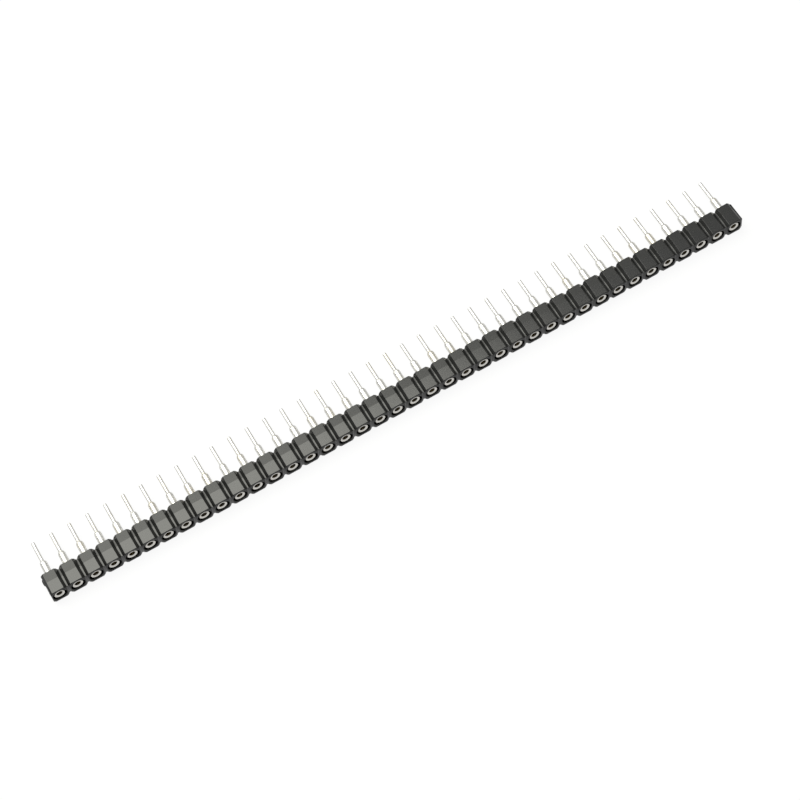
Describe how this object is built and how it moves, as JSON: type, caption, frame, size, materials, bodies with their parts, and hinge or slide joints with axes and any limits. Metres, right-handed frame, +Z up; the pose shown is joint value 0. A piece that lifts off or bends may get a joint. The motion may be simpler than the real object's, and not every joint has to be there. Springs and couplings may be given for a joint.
{
  "type": "single-row turned-pin socket strip",
  "caption": "Single-row female header strip with round turned sockets, slim solder tails and notched break lines between its cells, lying on one long side.",
  "frame": {"origin": "centre of the bounding box's base: middle of the row, middle of the overall length from socket face to tail tips, on the surface the strip lies on", "axes": "+X along the row, +Y along the solder tails, so the sockets open towards -Y, and +Z up from the long side it lies on"},
  "size_m": [0.1016, 0.0082, 0.0025],
  "materials": {
    "moulded_black": "glass-filled black insulator moulding, satin",
    "tinned_sleeve": "turned brass with bright tin plating",
    "gilt_clip": "stamped copper-alloy spring with thin gold plating"
  },
  "bodies": {
    "root": {"housing": "moulded_black", "contact_sleeve_01": "tinned_sleeve", "contact_sleeve_02": "tinned_sleeve", "contact_sleeve_03": "tinned_sleeve", "contact_sleeve_04": "tinned_sleeve", "contact_sleeve_05": "tinned_sleeve", "contact_sleeve_06": "tinned_sleeve", "contact_sleeve_07": "tinned_sleeve", "contact_sleeve_08": "tinned_sleeve", "contact_sleeve_09": "tinned_sleeve", "contact_sleeve_10": "tinned_sleeve", "contact_sleeve_11": "tinned_sleeve", "contact_sleeve_12": "tinned_sleeve", "contact_sleeve_13": "tinned_sleeve", "contact_sleeve_14": "tinned_sleeve", "contact_sleeve_15": "tinned_sleeve", "contact_sleeve_16": "tinned_sleeve", "contact_sleeve_17": "tinned_sleeve", "contact_sleeve_18": "tinned_sleeve", "contact_sleeve_19": "tinned_sleeve", "contact_sleeve_20": "tinned_sleeve", "contact_sleeve_21": "tinned_sleeve", "contact_sleeve_22": "tinned_sleeve", "contact_sleeve_23": "tinned_sleeve", "contact_sleeve_24": "tinned_sleeve", "contact_sleeve_25": "tinned_sleeve", "contact_sleeve_26": "tinned_sleeve", "contact_sleeve_27": "tinned_sleeve", "contact_sleeve_28": "tinned_sleeve", "contact_sleeve_29": "tinned_sleeve", "contact_sleeve_30": "tinned_sleeve", "contact_sleeve_31": "tinned_sleeve", "contact_sleeve_32": "tinned_sleeve", "contact_sleeve_33": "tinned_sleeve", "contact_sleeve_34": "tinned_sleeve", "contact_sleeve_35": "tinned_sleeve", "contact_sleeve_36": "tinned_sleeve", "contact_sleeve_37": "tinned_sleeve", "contact_sleeve_38": "tinned_sleeve", "contact_sleeve_39": "tinned_sleeve", "contact_sleeve_40": "tinned_sleeve", "spring_clips_01": "gilt_clip", "spring_clips_02": "gilt_clip", "spring_clips_03": "gilt_clip", "spring_clips_04": "gilt_clip", "spring_clips_05": "gilt_clip", "spring_clips_06": "gilt_clip", "spring_clips_07": "gilt_clip", "spring_clips_08": "gilt_clip", "spring_clips_09": "gilt_clip", "spring_clips_10": "gilt_clip"}
  },
  "joints": []
}
